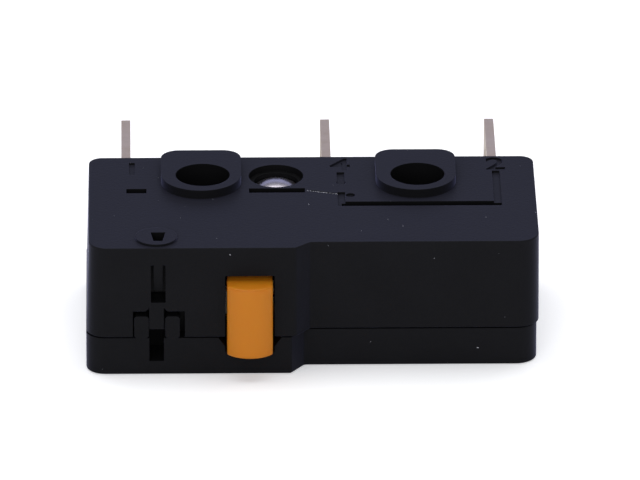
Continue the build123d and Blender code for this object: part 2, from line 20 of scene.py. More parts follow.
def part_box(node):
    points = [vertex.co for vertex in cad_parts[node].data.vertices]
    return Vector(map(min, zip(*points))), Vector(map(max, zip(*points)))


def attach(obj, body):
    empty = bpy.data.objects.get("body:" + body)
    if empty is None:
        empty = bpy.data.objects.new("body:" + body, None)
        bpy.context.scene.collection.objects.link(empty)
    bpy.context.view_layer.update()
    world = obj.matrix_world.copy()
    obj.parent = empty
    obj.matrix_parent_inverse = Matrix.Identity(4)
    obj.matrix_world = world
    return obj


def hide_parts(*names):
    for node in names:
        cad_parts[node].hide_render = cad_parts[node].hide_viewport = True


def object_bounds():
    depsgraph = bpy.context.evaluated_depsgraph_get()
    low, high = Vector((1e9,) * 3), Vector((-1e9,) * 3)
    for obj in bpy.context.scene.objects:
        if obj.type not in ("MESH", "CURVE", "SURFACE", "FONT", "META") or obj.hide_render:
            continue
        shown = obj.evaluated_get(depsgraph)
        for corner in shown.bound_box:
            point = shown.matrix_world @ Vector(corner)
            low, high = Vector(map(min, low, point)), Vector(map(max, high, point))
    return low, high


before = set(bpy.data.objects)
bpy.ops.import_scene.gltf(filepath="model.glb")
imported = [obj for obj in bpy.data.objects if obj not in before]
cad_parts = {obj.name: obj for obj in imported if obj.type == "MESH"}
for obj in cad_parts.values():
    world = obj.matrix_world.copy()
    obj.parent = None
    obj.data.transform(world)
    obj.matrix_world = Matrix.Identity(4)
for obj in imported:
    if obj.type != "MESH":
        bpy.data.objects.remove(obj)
cad_box = [list(corner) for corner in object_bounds()]
MM = 0.001
print("nodes:", ", ".join(sorted(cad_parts)))
print("box, mm:", [[round(value / MM, 2) for value in corner] for corner in cad_box])

# %% [markdown]
# ## Colours and nodes
#
# Colours are written the way a paint chart gives them, as sRGB hex values. Cycles works in linear
# light, so one function turns them. Another adds a shader or geometry node, fills in its settings
# and joins its inputs, which keeps each material below to a few readable lines. The rest start a
# material and join what most of them share: a mixed colour, a ranged roughness and a bump.


# %% Helpers for colours, nodes and materials
def linear(hex_colour):
    """An sRGB hex colour as linear red, green, blue and alpha."""
    channels = [int(hex_colour[i : i + 2], 16) / 255 for i in (1, 3, 5)]
    curve = [c / 12.92 if c <= 0.04045 else ((c + 0.055) / 1.055) ** 2.4 for c in channels]
    return (*curve, 1.0)


def add(tree, kind, settings=None, **inputs):
    """A new node. Settings are its own values, and each input is a number, a colour or a socket.

    An input goes by its name, with _ for a space, or by its number, as in _2.
    """
    node = tree.nodes.new(kind)
    for name, value in (settings or {}).items():
        setattr(node, name, value)
    for name, value in inputs.items():
        key = int(name[1:]) if name[0] == "_" else name.replace("_", " ")
        socket = node.inputs[key]
        if isinstance(value, bpy.types.NodeSocket):
            tree.links.new(value, socket)
        else:
            socket.default_value = value
    return node


def shader_of(material):
    """The Principled shader of a material."""
    return next(node for node in material.node_tree.nodes if node.type == "BSDF_PRINCIPLED")


def new_material(name):
    """A new material, its node tree and its Principled shader."""
    material = bpy.data.materials.new(name)
    material.use_nodes = True
    return material, material.node_tree, shader_of(material)


def even_material(name, colour, roughness):
    """A material of one even colour."""
    material, _, shader = new_material(name)
    shader.inputs["Base Color"].default_value = linear(colour)
    shader.inputs["Roughness"].default_value = roughness
    return material


def join_surface(tree, shader, colour, gloss, bump):
    """Join a mixed colour, a ranged roughness and a bump to a shader."""
    tree.links.new(colour.outputs[2], shader.inputs["Base Color"])
    tree.links.new(gloss.outputs["Result"], shader.inputs["Roughness"])
    tree.links.new(bump.outputs["Normal"], shader.inputs["Normal"])


print("a mid grey, #808080, is", round(linear("#808080")[0], 3), "in linear light")


# %% [markdown]
# ## Black moulding
#
# The two shells are a glass-filled polyester, PBT, moulded in a spark-eroded tool. Spark erosion
# leaves a fine even grain, so the faces look dry and dark from the front but pick up a cool sheen
# where they are seen at a low angle. Real grain is about 0.03 mm, too fine to draw here, so it is
# drawn at 0.11 mm. The grain also breaks up mirror reflections, so the index of refraction is set
# well below the plastic's own 1.6. A second, slower noise stands for the way the melt flowed, with
# slightly glossier and duller areas.

# %% Material: black moulding
GRAIN_MM = 0.11
FLOW_MM = 3.0
EDGE_MM = 0.035  # rounding of the edges in the shading
GLOSS_SWING = 0.06


def moulded(name, dark, light, roughness, ior, grain_height_mm, edge_mm=EDGE_MM):
    """A moulded plastic with a fine tool grain, slow flow marks and edges that look rounded."""
    material, tree, shader = new_material(name)
    place = add(tree, "ShaderNodeTexCoord").outputs["Object"]
    grain = add(
        tree, "ShaderNodeTexNoise", {"noise_dimensions": "3D"},
        Vector=place, Scale=1 / (GRAIN_MM * MM), Detail=2.0, Roughness=0.6,
    )
    flow = add(tree, "ShaderNodeTexNoise", None, Vector=place, Scale=1 / (FLOW_MM * MM), Detail=3.0)
    colour = add(
        tree, "ShaderNodeMix", {"data_type": "RGBA"},
        Factor=flow.outputs["Fac"], _6=linear(dark), _7=linear(light),
    )
    gloss = add(
        tree, "ShaderNodeMapRange", None, Value=flow.outputs["Fac"],
        To_Min=roughness - GLOSS_SWING, To_Max=roughness + GLOSS_SWING,
    )
    rounded = add(tree, "ShaderNodeBevel", {"samples": 6}, Radius=edge_mm * MM)
    bump = add(
        tree, "ShaderNodeBump", None, Strength=1.0, Distance=grain_height_mm * MM,
        Height=grain.outputs["Fac"], Normal=rounded.outputs["Normal"],
    )
    join_surface(tree, shader, colour, gloss, bump)
    shader.inputs["IOR"].default_value = ior
    return material


black_moulding = moulded(
    "black_glass_filled_pbt_moulding", "#151516", "#1a1a1c",
    roughness=0.42, ior=1.1, grain_height_mm=0.006,
)
black_shader = shader_of(black_moulding)
black_shader.inputs["Sheen Weight"].default_value = 0.2
black_shader.inputs["Sheen Roughness"].default_value = 0.4
black_shader.inputs["Sheen Tint"].default_value = linear("#b2b5f2")
print(black_moulding.name, "grain", GRAIN_MM, "mm")

# %% [markdown]
# ## Orange plunger and natural lever
#
# The plunger is acetal or a similar slippery plastic, moulded in orange. It is smoother than the
# shells because it has to slide, and light enters it a little, so its shaded edges stay a deep
# warm orange instead of going grey. Its edges look more rounded than those of the shells. The inner
# lever is the same kind of plastic left uncoloured.

# %% Material: orange and natural mouldings
ORANGE_EDGE_MM = 0.2
orange_moulding = moulded(
    "orange_acetal_moulding", "#c07312", "#c87a18",
    roughness=0.38, ior=1.3, grain_height_mm=0.002, edge_mm=ORANGE_EDGE_MM,
)
orange_shader = shader_of(orange_moulding)
orange_shader.inputs["Subsurface Weight"].default_value = 0.25
orange_shader.inputs["Subsurface Radius"].default_value = (1.0, 0.35, 0.08)
orange_shader.inputs["Subsurface Scale"].default_value = 0.6 * MM

natural_moulding = moulded(
    "natural_acetal_moulding", "#d9d5c8", "#e4e0d4",
    roughness=0.45, ior=1.48, grain_height_mm=0.002,
)
print(orange_moulding.name, "and", natural_moulding.name)

# %% [markdown]
# ## Stamped metals
#
# The tabs are brass strip, plated with tin, then stamped. Tin gives a soft silver with a faint
# warm cast, and the strip was rolled along its length, which leaves fine lines about 0.1 mm apart.
# The same recipe with other colours makes the contact lever and, without the lines' direction, the
# rivet, the contacts and the spring. Slow clouds stand for uneven plating. Metals keep the default
# IOR, since their colour is their reflection.

# %% Material: stamped and plated metals
ROLLING_MM = 0.09
CLOUD_MM = 0.9
METAL_SWING = 0.1
LINE_STRENGTH = 0.6
ALONG_X = (12, 1, 1)
ALONG_Y = (1, 12, 1)
EVEN = (1, 1, 1)


def stamped(name, dull, bright, roughness, stretch, depth_mm):
    """A metal with fine lines along one axis. Stretch gives how long the marks are on each axis."""
    material, tree, shader = new_material(name)
    place = add(tree, "ShaderNodeTexCoord").outputs["Object"]
    squeeze = [1 / value for value in stretch]
    along = add(tree, "ShaderNodeMapping", None, Vector=place, Scale=squeeze)
    lines = add(
        tree, "ShaderNodeTexNoise", None,
        Vector=along.outputs["Vector"], Scale=1 / (ROLLING_MM * MM), Detail=4.0, Roughness=0.7,
    )
    cloud = add(
        tree, "ShaderNodeTexNoise", None, Vector=place, Scale=1 / (CLOUD_MM * MM), Detail=4.0,
    )
    colour = add(
        tree, "ShaderNodeMix", {"data_type": "RGBA"},
        Factor=cloud.outputs["Fac"], _6=linear(dull), _7=linear(bright),
    )
    gloss = add(
        tree, "ShaderNodeMapRange", None, Value=cloud.outputs["Fac"],
        To_Min=roughness + METAL_SWING, To_Max=roughness - METAL_SWING,
    )
    bump = add(
        tree, "ShaderNodeBump", None,
        Strength=LINE_STRENGTH, Distance=depth_mm * MM, Height=lines.outputs["Fac"],
    )
    join_surface(tree, shader, colour, gloss, bump)
    shader.inputs["Metallic"].default_value = 1.0
    return material


tinned_brass = stamped(
    "tin_plated_brass_stamping", "#ae9c8b", "#cfbfad",
    roughness=0.42, stretch=ALONG_Y, depth_mm=0.004,
)
rivet_steel = stamped(
    "nickel_plated_steel_rivet", "#8c8790", "#b9b4bc",
    roughness=0.28, stretch=EVEN, depth_mm=0.003,
)
blade_copper = stamped(
    "beryllium_copper_blade", "#b98a5e", "#d0a070",
    roughness=0.32, stretch=ALONG_X, depth_mm=0.003,
)
spring_steel = stamped(
    "drawn_spring_steel_wire", "#8f8f8c", "#b4b4b0",
    roughness=0.3, stretch=EVEN, depth_mm=0.002,
)
contact_silver = stamped(
    "silver_contact_alloy", "#c9c6c0", "#e2e0dc",
    roughness=0.3, stretch=EVEN, depth_mm=0.003,
)
print("metals:", tinned_brass.name, rivet_steel.name, blade_copper.name)

# %% [markdown]
# ## Dressing the solid model
#
# Every node of the solid model takes the material of the real piece. The node's own mesh is left
# as it is: only its material slot changes.

# %% Materials on the nodes
FINISHES = {
    "case": black_moulding,
    "cover": black_moulding,
    "plunger": orange_moulding,
    "actuating_lever": natural_moulding,
    "common_terminal": tinned_brass,
    "no_terminal": tinned_brass,
    "nc_terminal": tinned_brass,
    "assembly_rivet": rivet_steel,
    "contact_lever": blade_copper,
    "snap_spring": spring_steel,
    "moving_contact": contact_silver,
    "no_contact": contact_silver,
    "nc_contact": contact_silver,
}
for node, material in FINISHES.items():
    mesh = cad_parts[node].data
    mesh.materials.clear()
    mesh.materials.append(material)
print(len(FINISHES), "nodes dressed")

# %% [markdown]
# ## From a passing object to a finished piece
#
# A shape is often made by a modifier or a font curve. It is worked out on a passing object, the
# evaluated mesh is kept, and the passing object is removed. The finished piece then stands at the
# origin, unturned and unscaled, rides on one body of the mechanism and carries its material.

# %% Helpers for meshes
MERGE_MM = 0.0005


def scene_object(name, data):
    """A new object at the origin that carries a mesh, a curve, a camera or a lamp."""
    thing = bpy.data.objects.new(name, data)
    bpy.context.scene.collection.objects.link(thing)
    return thing


def finished_mesh(name, mesh, material, body):
    """A finished piece that carries a mesh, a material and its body."""
    mesh.name = name
    mesh.materials.clear()
    mesh.materials.append(material)
    piece = scene_object(name, mesh)
    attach(piece, body)
    print(name, len(mesh.polygons), "faces")
    return piece


def baked(worker):
    """The evaluated mesh of a passing object, with its modifiers applied. The object is removed."""
    evaluated = worker.evaluated_get(bpy.context.evaluated_depsgraph_get())
    mesh = bpy.data.meshes.new_from_object(evaluated)
    bpy.data.objects.remove(worker)
    return mesh


def cleaned(mesh, flat_deg=None):
    """The same mesh with close points merged and, if asked, flat areas joined into whole faces."""
    shape = bmesh.new()
    shape.from_mesh(mesh)
    bmesh.ops.remove_doubles(shape, verts=shape.verts, dist=MERGE_MM * MM)
    if flat_deg:
        bmesh.ops.dissolve_limit(
            shape, angle_limit=math.radians(flat_deg), verts=shape.verts, edges=shape.edges,
            delimit={"NORMAL"},
        )
    result = bpy.data.meshes.new(mesh.name + "_clean")
    shape.to_mesh(result)
    shape.free()
    return result


print("close points merge within", MERGE_MM, "mm")

# %% [markdown]
# ## Sunk numbers beside the tabs
#
# Each tab has its contact number sunk in the case beside it, cut about as deep as the uprights of
# the circuit diagram: 1 for the common tab, 4 for the normally open one and 2 for the normally
# closed one. A font curve with some thickness makes each figure, a little bolder than the font has
# it. The figures are turned into one mesh, which then serves as the cutter of a Boolean modifier.
# The bolder outline of a figure can cross itself, so the modifier is told to expect that.

# %% Cutter for the numbers
BOSS_RISE = 0.4 * MM  # of the lands above the top face
TAB_HALF = 0.205 * MM  # half the thickness of a tab
FIGURE_HEIGHT = 1.25 * MM
FIGURE_DEPTH = 0.09 * MM
FIGURE_BOLDER = 0.04 * MM
FIGURE_MERGE = 0.0001 * MM
CAPITAL = 0.7  # height of a figure as a share of the font's size
BESIDE = {"1": 0.27 * MM, "4": 0.53 * MM}  # along X, from the middle of the tab
ALONG = {"1": 1.5 * MM, "4": 1.86 * MM, "2": 1.9 * MM}  # along Y
top_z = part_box("case")[1][2] - BOSS_RISE
figures = (
    ("1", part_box("common_terminal")[0][0] + TAB_HALF + BESIDE["1"]),
    ("4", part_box("no_terminal")[0][0] + TAB_HALF + BESIDE["4"]),
    ("2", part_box("nc_terminal")[1][0] - TAB_HALF),
)
shape = bmesh.new()
for figure, x in figures:
    text = bpy.data.curves.new("figure_" + figure, "FONT")
    text.body = figure
    text.align_x = "CENTER"
    text.align_y = "CENTER"
    text.size = FIGURE_HEIGHT / CAPITAL
    text.extrude = FIGURE_DEPTH
    text.offset = FIGURE_BOLDER
    mesh = baked(scene_object("writer_" + figure, text))
    mesh.transform(Matrix.Translation((x, ALONG[figure], top_z)))
    shape.from_mesh(mesh)
bmesh.ops.remove_doubles(shape, verts=shape.verts, dist=FIGURE_MERGE)
bmesh.ops.recalc_face_normals(shape, faces=shape.faces)
cutter_mesh = bpy.data.meshes.new("figures")
shape.to_mesh(cutter_mesh)
shape.free()
print("figures", len(cutter_mesh.polygons), "faces,", round(FIGURE_DEPTH / MM, 2), "mm deep")

# %% [markdown]
# ## Softened edges
#
# No moulding has a perfectly sharp edge: the tool's corners are rounded by a few hundredths of a
# millimetre, and that rounding is what catches the light. The solid model leaves it out, so a copy
# of each moulded piece is made here. Its loose triangles are merged, the numbers are cut, flat
# areas are joined into whole faces, and a Bevel modifier then rounds every edge that turns sharply.
# The bevel can be no wider than the smallest detail allows, so the material's own Bevel node adds
# the rest in the shading. Plain smooth shading would bend the light on the long flat faces beside
# each bevel, so a corner's normal comes only from faces that turn little from its own. The copy
# stands for the piece in the picture.

# %% Softened copies of the mouldings
SHARP_TURN = math.radians(28)
SMOOTH_BELOW = math.radians(32)
FLAT_DEG = 0.5
BEVEL_SEGMENTS = 2
SHELL_EDGE_MM = 0.03
PLUNGER_EDGE_MM = 0.04


def flat_stays_flat(mesh):
    """Smooth shading that leaves flat areas flat.

    Each corner's normal is the average, by area, of the faces at its vertex that turn little from
    the corner's own face.
    """
    around = [[] for vertex in mesh.vertices]
    for face in mesh.polygons:
        for vertex in face.vertices:
            around[vertex].append((face.normal.copy(), face.area))
    corners = []
    for face in mesh.polygons:
        for vertex in face.vertices:
            near = [
                normal * area for normal, area in around[vertex]
                if face.normal.angle(normal, 0.0) < SMOOTH_BELOW
            ]
            corners.append(sum(near, Vector()).normalized())
    mesh.shade_smooth()
    mesh.normals_split_custom_set(corners)


def softened(node, radius_mm, material, body, cutter=None):
    """A copy of a moulded node with rounded edges and, if given, a cutter's shape sunk in it."""
    mesh = cleaned(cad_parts[node].data)
    if cutter:
        knife = scene_object(node + "_knife", cutter)
        worker = scene_object(node + "_cut", mesh)
        sink = worker.modifiers.new("sunk_figures", "BOOLEAN")
        sink.operation = "DIFFERENCE"
        sink.solver = "EXACT"
        sink.object = knife
        sink.use_self = True
        mesh = baked(worker)
        bpy.data.objects.remove(knife)
    worker = scene_object(node + "_edges", cleaned(mesh, FLAT_DEG))
    bevel = worker.modifiers.new("rounded_edges", "BEVEL")
    bevel.width = radius_mm * MM
    bevel.segments = BEVEL_SEGMENTS
    bevel.limit_method = "ANGLE"
    bevel.angle_limit = SHARP_TURN
    bevel.use_clamp_overlap = True
    rounded = baked(worker)
    flat_stays_flat(rounded)
    piece = finished_mesh(node + "_moulding", rounded, material, body)
    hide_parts(node)
    return piece


case_moulding = softened(
    "case", SHELL_EDGE_MM, black_moulding, "housing", cutter_mesh,
)
cover_moulding = softened("cover", SHELL_EDGE_MM, black_moulding, "housing")
plunger_moulding = softened(
    "plunger", PLUNGER_EDGE_MM, orange_moulding, "button",
)

# %% [markdown]
# ## Smooth recesses with painted shade
#
# Only the outer faces of the shells carry the spark-eroded grain. The bores, slots, wells and the
# inside are shaped by smooth cores in the tool, so they have no cool sheen. Their colour is also a
# little darker than that of the outer faces, which paints the shade that falls in them. Rays that
# fan out from the middle of each face tell which faces these are: where few of the rays get clear
# of the switch, the face lies in a recess and takes the second finish with its painted shade. The
# well over the rivet was shaped by one stepped core, so all of it takes that finish too. The
# figures and the shallow marks were cut in the eroded face of the tool, so they keep its grain.

# %% Material: smooth core moulding with painted shade
# darker than the black moulding and without its sheen: a smooth finish with painted shade
recess_shade_moulding = moulded(
    "black_pbt_smooth_core_painted_shade", "#121213", "#161617",
    roughness=0.36, ior=1.1, grain_height_mm=0.002,
)
print(recess_shade_moulding.name)

# %% Helpers for rays
GOLDEN_TURN = math.pi * (3 - math.sqrt(5))


def fan(count):
    """Directions over the half sphere about +Z, denser near its middle, as light counts them."""
    rays = []
    for step in range(count):
        rise = math.sqrt((step + 0.5) / count)
        reach = math.sqrt(1 - rise * rise)
        turn = step * GOLDEN_TURN
        rays.append(Vector((reach * math.cos(turn), reach * math.sin(turn), rise)))
    return rays


def obstacles(pieces):
    """One search tree for all the triangles of some pieces, which are worked out here."""
    points, triangles = [], []
    for piece in pieces:
        mesh = piece.data
        mesh.calc_loop_triangles()
        first = len(points)
        points.extend(vertex.co.copy() for vertex in mesh.vertices)
        triangles.extend([first + i for i in tri.vertices] for tri in mesh.loop_triangles)
    return BVHTree.FromPolygons(points, triangles)


# %% Faces of the recesses
RAYS = 40
RECESS_BELOW = 0.47  # the share of clear rays below which a face counts as hidden
CLEAR_MM = 0.003  # how far off its face a ray starts
WELL_R = 1.25 * MM  # a little more than the radius of the rivet's well
SHALLOW = 0.13 * MM  # a little more than the depth of a shallow mark

rivet_low, rivet_high = (Vector(corner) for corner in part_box("assembly_rivet"))
rivet_axis = (rivet_low + rivet_high).to_2d() / 2


def in_rivet_well(point):
    """Whether a point lies below the top face and inside the well over the rivet."""
    return (point.to_2d() - rivet_axis).length < WELL_R and point.z < top_z - CLEAR_MM * MM


def in_shallow_mark(heights):
    """Whether a face with these heights belongs to a mark sunk only a tenth of a millimetre."""
    return min(heights) > top_z - SHALLOW and max(heights) < top_z + CLEAR_MM * MM


def paint_recess_shade(piece, blocking, material):
    """Give the second material to the faces from which too few rays get clear.

    Its darker colour is painted shade for those recesses. A face with a hole may have nothing at
    its own centre, so the rays of a face start at the middle of its largest triangle.
    """
    mesh = piece.data
    mesh.materials.append(material)
    middle = {}
    for tri in mesh.loop_triangles:
        if tri.area >= middle.get(tri.polygon_index, (0.0, None))[0]:
            middle[tri.polygon_index] = (tri.area, tri.center.copy())
    rays = fan(RAYS)
    for face in mesh.polygons:
        turn = face.normal.to_track_quat("Z", "Y")
        point = middle[face.index][1]
        start = point + face.normal * CLEAR_MM * MM
        clear = sum(blocking.ray_cast(start, turn @ ray)[0] is None for ray in rays)
        hidden = clear < RECESS_BELOW * RAYS or in_rivet_well(point)
        heights = [mesh.vertices[vertex].co.z for vertex in face.vertices]
        # faces that few rays leave take the darker material, which paints their shade
        face.material_index = int(hidden and not in_shallow_mark(heights))
    smooth = sum(face.material_index for face in mesh.polygons)
    print(piece.name, smooth, "of", len(mesh.polygons), "faces in recesses")


mouldings = obstacles((case_moulding, cover_moulding, plunger_moulding))
# the recess faces get the darker material, which paints the shade in them
paint_recess_shade(case_moulding, mouldings, recess_shade_moulding)
paint_recess_shade(cover_moulding, mouldings, recess_shade_moulding)

# %% [markdown]
# ## Trees for what follows a rule
#
# What repeats or follows a rule, such as a coil or strewn dust, is made by a tree of Geometry Nodes
# with named inputs. The tree runs once as a modifier on a passing object, and its result is kept as
# a plain mesh. Each tree ends by turning instances into real geometry and setting its material.

# %% Helpers for Geometry Nodes
FLOAT, INTEGER, MATERIAL = "NodeSocketFloat", "NodeSocketInt", "NodeSocketMaterial"


def geometry_tree(name, inputs):
    """A tree with a geometry input and output, its named inputs, and the sockets they come from."""
    tree = bpy.data.node_groups.new(name, "GeometryNodeTree")
    tree.interface.new_socket("Geometry", in_out="INPUT", socket_type="NodeSocketGeometry")
    tree.interface.new_socket("Geometry", in_out="OUTPUT", socket_type="NodeSocketGeometry")
    for label, kind in inputs.items():
        tree.interface.new_socket(label, in_out="INPUT", socket_type=kind)
    print(name, "takes", ", ".join(inputs))
    return tree, tree.nodes.new("NodeGroupInput").outputs


def end_tree(tree, geometry, material):
    """The end of a tree: real geometry in place of instances, its material, and the output."""
    solid = add(tree, "GeometryNodeRealizeInstances", None, Geometry=geometry)
    painted = add(
        tree, "GeometryNodeSetMaterial", None,
        Geometry=solid.outputs["Geometry"], Material=material,
    )
    add(tree, "NodeGroupOutput", None, Geometry=painted.outputs["Geometry"])


def run_tree(tree, mesh, values):
    """The mesh that a tree makes from a mesh, with its inputs set by their identifiers."""
    worker = scene_object(tree.name + "_worker", mesh)
    modifier = worker.modifiers.new(tree.name, "NODES")
    modifier.node_group = tree
    for item in tree.interface.items_tree:
        if item.item_type == "SOCKET" and item.in_out == "INPUT" and item.name in values:
            modifier[item.identifier] = values[item.name]
    return baked(worker)


# %% [markdown]
# ## Snap spring
#
# The spring is round steel wire, wound tight, with a loop at each end. The solid model keeps its
# wire square to stay light. A wound coil follows a rule, so Geometry Nodes make it: a spiral curve
# gets a round profile, and two arcs in a plane through the axis make the loops. The tree lays the
# spring along Z from the origin, and the mesh is then turned onto the line between its hooks.

# %% Geometry Nodes: wound spring
STEPS_PER_TURN = 20
LOOP_POINTS = 17
WIRE_SIDES = 10
LOOP_START = math.radians(-45)
LOOP_SWEEP = math.radians(270)

spring_tree, given = geometry_tree(
    "wound_spring",
    {
        "Turns": FLOAT, "Coil radius": FLOAT, "Wire radius": FLOAT, "Coil length": FLOAT,
        "Leg": FLOAT, "Material": MATERIAL,
    },
)
spiral = add(
    spring_tree, "GeometryNodeCurveSpiral", None, Resolution=STEPS_PER_TURN,
    Rotations=given["Turns"], Start_Radius=given["Coil radius"],
    End_Radius=given["Coil radius"], Height=given["Coil length"],
)
lift = add(spring_tree, "ShaderNodeCombineXYZ", None, Z=given["Leg"])
placed = add(
    spring_tree, "GeometryNodeTransform", None,
    Geometry=spiral.outputs["Curve"], Translation=lift.outputs["Vector"],
)
whole = add(
    spring_tree, "ShaderNodeMath", {"operation": "MULTIPLY_ADD"},
    _0=given["Leg"], _1=2.0, _2=given["Coil length"],
)
join = spring_tree.nodes.new("GeometryNodeJoinGeometry")
spring_tree.links.new(placed.outputs["Geometry"], join.inputs["Geometry"])
for quarter_turn, height in ((-90, 0.0), (90, whole.outputs["Value"])):
    arc = add(
        spring_tree, "GeometryNodeCurveArc", {"mode": "RADIUS"}, Resolution=LOOP_POINTS,
        Radius=given["Coil radius"], Start_Angle=LOOP_START, Sweep_Angle=LOOP_SWEEP,
    )
    stand = add(
        spring_tree, "GeometryNodeTransform", None,
        Geometry=arc.outputs["Curve"], Rotation=(math.radians(quarter_turn), 0, 0),
    )
    spot = add(spring_tree, "ShaderNodeCombineXYZ", None, Z=height)
    loop = add(
        spring_tree, "GeometryNodeTransform", None,
        Geometry=stand.outputs["Geometry"], Translation=spot.outputs["Vector"],
    )
    spring_tree.links.new(loop.outputs["Geometry"], join.inputs["Geometry"])
profile = add(
    spring_tree, "GeometryNodeCurvePrimitiveCircle", {"mode": "RADIUS"},
    Resolution=WIRE_SIDES, Radius=given["Wire radius"],
)
wire = add(
    spring_tree, "GeometryNodeCurveToMesh", None,
    Curve=join.outputs["Geometry"], Profile_Curve=profile.outputs["Curve"], Fill_Caps=True,
)
end_tree(spring_tree, wire.outputs["Mesh"], given["Material"])

# %% Spring in its place
TURNS = 9.0
COIL_R = 0.33 * MM
WIRE_R = 0.06 * MM
LEG = 0.36 * MM  # from the middle of a loop to the coil
low, high = (Vector(corner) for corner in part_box("snap_spring"))
hook_a = Vector((low.x + COIL_R, low.y + COIL_R, (low.z + high.z) / 2))
hook_b = Vector((high.x - COIL_R, high.y - COIL_R, hook_a.z))
span = hook_b - hook_a
coil = run_tree(
    spring_tree, bpy.data.meshes.new("seed"),
    {
        "Turns": TURNS, "Coil radius": COIL_R, "Wire radius": WIRE_R,
        "Coil length": span.length - 2 * LEG, "Leg": LEG, "Material": spring_steel,
    },
)
lean = span.normalized().to_track_quat("Z", "Y").to_matrix().to_4x4()
coil.transform(Matrix.Translation(hook_a) @ lean)
spring = finished_mesh("wound_snap_spring", coil, spring_steel, "driver")
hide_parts("snap_spring")

# %% [markdown]
# ## Dust
#
# A black moulding straight from a drawer is never clean. Fine lint and specks sit on it, and they
# show as bright points. Geometry Nodes scatter them over the outer faces: points are strewn with a
# fixed seed, and each gets a flat, longish chip of random size and turn. Most chips are small.

# %% Material: dust, also for the painted highlight
# one pale colour for the real dust and for the painted highlight along the arm groove
dust_and_highlight_material = even_material("pale_dust_and_painted_highlight", "#b9bac4", 0.9)
print(dust_and_highlight_material.name)

# %% Geometry Nodes: strewn specks
CHIP_WIDTH = 0.45  # of its length
CHIP_HEIGHT = 0.3  # of its length
MOSTLY_SMALL = 3.0  # the power that bends even random numbers towards zero

speck_tree, given = geometry_tree(
    "strewn_specks",
    {
        "Per square metre": FLOAT, "Smallest": FLOAT, "Largest": FLOAT, "Seed": INTEGER,
        "Material": MATERIAL,
    },
)
points = add(
    speck_tree, "GeometryNodeDistributePointsOnFaces", None,
    Mesh=given["Geometry"], Density=given["Per square metre"], Seed=given["Seed"],
)
chip = add(speck_tree, "GeometryNodeMeshIcoSphere", None, Radius=1.0, Subdivisions=1)
spread = add(
    speck_tree, "FunctionNodeRandomValue", {"data_type": "FLOAT"},
    _2=0.0, _3=1.0, Seed=given["Seed"],
)
skew = add(
    speck_tree, "ShaderNodeMath", {"operation": "POWER"}, _0=spread.outputs[1], _1=MOSTLY_SMALL,
)
length = add(
    speck_tree, "ShaderNodeMapRange", None,
    Value=skew.outputs["Value"], To_Min=given["Smallest"], To_Max=given["Largest"],
)
width, height = (
    add(
        speck_tree, "ShaderNodeMath", {"operation": "MULTIPLY"},
        _0=length.outputs["Result"], _1=share,
    )
    for share in (CHIP_WIDTH, CHIP_HEIGHT)
)
shape_of_chip = add(
    speck_tree, "ShaderNodeCombineXYZ", None,
    X=length.outputs["Result"], Y=width.outputs["Value"], Z=height.outputs["Value"],
)
spin = add(
    speck_tree, "FunctionNodeRandomValue", {"data_type": "FLOAT"},
    _2=0.0, _3=math.tau, Seed=given["Seed"],
)
spin_vector = add(speck_tree, "ShaderNodeCombineXYZ", None, Z=spin.outputs[1])
turned = add(
    speck_tree, "FunctionNodeRotateEuler", {"space": "LOCAL"},
    Rotation=points.outputs["Rotation"], Rotate_By=spin_vector.outputs["Vector"],
)
strewn = add(
    speck_tree, "GeometryNodeInstanceOnPoints", None,
    Points=points.outputs["Points"], Instance=chip.outputs["Mesh"],
    Rotation=turned.outputs["Rotation"], Scale=shape_of_chip.outputs["Vector"],
)
end_tree(speck_tree, strewn.outputs["Instances"], given["Material"])

# %% Specks on the shells
SPECKS_PER_M2 = 110000.0
SPECK_SEED = 7
SMALLEST = 0.012 * MM
LARGEST_SPECK = 0.055 * MM
FACING = 0.9  # the least cosine between a face's normal and the side it counts to
TOP_MARGIN, FRONT_MARGIN, SIDE_MARGIN, REAR_MARGIN = 0.12 * MM, 1.0 * MM, 0.3 * MM, 0.2 * MM
low, high = (Vector(corner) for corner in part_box("case"))


def outer_skin():
    """The outward faces of both shells, without the underside, the bores and the inside."""
    shape = bmesh.new()
    for node in ("case", "cover"):
        shape.from_mesh(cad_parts[node].data)
    inner = []
    for face in shape.faces:
        centre, normal = face.calc_center_median(), face.normal
        on_top = normal.z > FACING and abs(centre.z - top_z) < TOP_MARGIN
        on_front = normal.y < -FACING and centre.y < low.y + FRONT_MARGIN
        on_side = abs(normal.x) > FACING and abs(centre.x) > high.x - SIDE_MARGIN
        on_rear = normal.y > FACING and centre.y > high.y - REAR_MARGIN
        if not (on_top or on_front or on_side or on_rear):
            inner.append(face)
    bmesh.ops.delete(shape, geom=inner, context="FACES")
    mesh = bpy.data.meshes.new("outer_skin")
    shape.to_mesh(mesh)
    shape.free()
    return mesh


specks = run_tree(
    speck_tree, outer_skin(),
    {
        "Per square metre": SPECKS_PER_M2, "Smallest": SMALLEST, "Largest": LARGEST_SPECK,
        "Seed": SPECK_SEED, "Material": dust_and_highlight_material,
    },
)
finished_mesh("dust_specks", specks, dust_and_highlight_material, "housing")

# %% [markdown]
# ## Painted highlight along the fine groove
#
# The switch arm of the sunk diagram is a groove only a tenth of a millimetre wide. A dense line of
# pale specks along it paints the highlight that its edge catches, as a thin pale line. The same
# tree strews the specks, this time densely, on a narrow strip that lies along the groove.

# %% Painted highlight along the switch arm
HIGHLIGHT_SPECKS_PER_M2 = 1.6e9
HIGHLIGHT_SEED = 3
LARGEST_HIGHLIGHT_SPECK = 0.035 * MM
ARM_START = Vector((-0.2, -0.84)) * MM
ARM_END = Vector((1.2, -1.25)) * MM
HIGHLIGHT_HALF = 0.014 * MM


